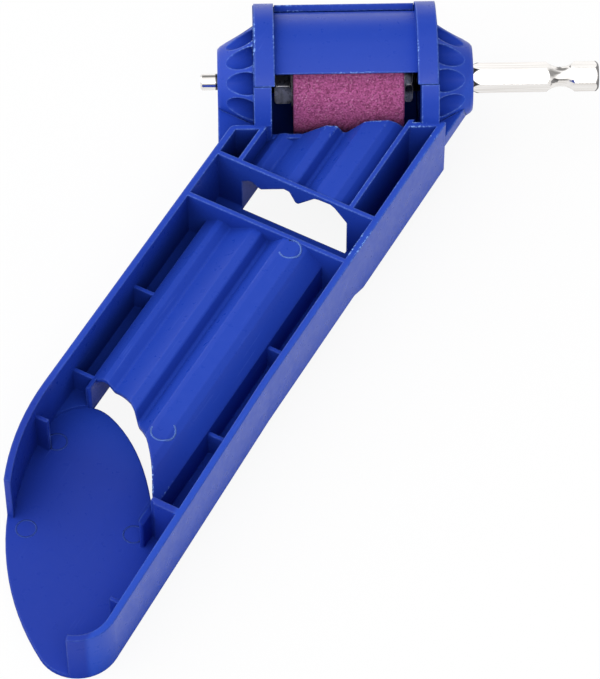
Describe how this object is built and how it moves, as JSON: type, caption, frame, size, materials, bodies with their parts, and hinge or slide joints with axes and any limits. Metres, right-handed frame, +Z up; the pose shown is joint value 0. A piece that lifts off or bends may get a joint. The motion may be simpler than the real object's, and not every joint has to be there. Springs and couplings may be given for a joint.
{
  "type": "drill bit sharpener attachment",
  "caption": "Drill-powered bit sharpener: blue moulded tray with grooved drill guides, corundum wheel in a hooded drum, hex drive shank.",
  "frame": {"origin": "centre of the hex shank's tip, on the spindle axis", "axes": "+X along the spindle, out of the shank; +Z up from the bench that the part rests on; the tray runs towards -Y"},
  "size_m": [0.1413, 0.1812, 0.0374],
  "materials": {
    "moulded_blue": "injection moulded, semi-gloss",
    "corundum": "bonded abrasive, fine grit",
    "plated_steel": "bright nickel plate",
    "black_steel": "black oxide",
    "bearing_steel": "ground steel",
    "cage_brass": "pressed cage"
  },
  "bodies": {
    "housing": {"tray_body": "moulded_blue", "wheel_cover": "moulded_blue", "left_bearing_cap": "moulded_blue", "right_bearing_cap": "moulded_blue", "left_bearing_outer_ring": "bearing_steel", "left_bearing_shields": "bearing_steel", "right_bearing_outer_ring": "bearing_steel", "right_bearing_shields": "bearing_steel"},
    "spindle": {"drive_shaft": "plated_steel", "grinding_wheel": "corundum", "left_wheel_nut": "black_steel", "right_wheel_nut": "black_steel", "left_clamp_washer": "black_steel", "right_clamp_washer": "black_steel", "left_bearing_inner_ring": "bearing_steel", "right_bearing_inner_ring": "bearing_steel"},
    "left_ball_set": {"left_bearing_balls": "bearing_steel", "left_bearing_cage": "cage_brass"},
    "right_ball_set": {"right_bearing_balls": "bearing_steel", "right_bearing_cage": "cage_brass"}
  },
  "joints": [
    {"name": "spindle_spin", "type": "hinge", "parent": "housing", "child": "spindle", "pos_m": [0, 0, 0], "axis": [1, 0, 0], "continuous": true},
    {"name": "left_ball_set_spin", "type": "hinge", "parent": "housing", "child": "left_ball_set", "pos_m": [0, 0, 0], "axis": [1, 0, 0], "continuous": true},
    {"name": "right_ball_set_spin", "type": "hinge", "parent": "housing", "child": "right_ball_set", "pos_m": [0, 0, 0], "axis": [1, 0, 0], "continuous": true}
  ],
  "couplings": [
    {"joint": "left_ball_set_spin", "follows": "spindle_spin", "ratio": 0.37179},
    {"joint": "right_ball_set_spin", "follows": "spindle_spin", "ratio": 0.40722}
  ]
}
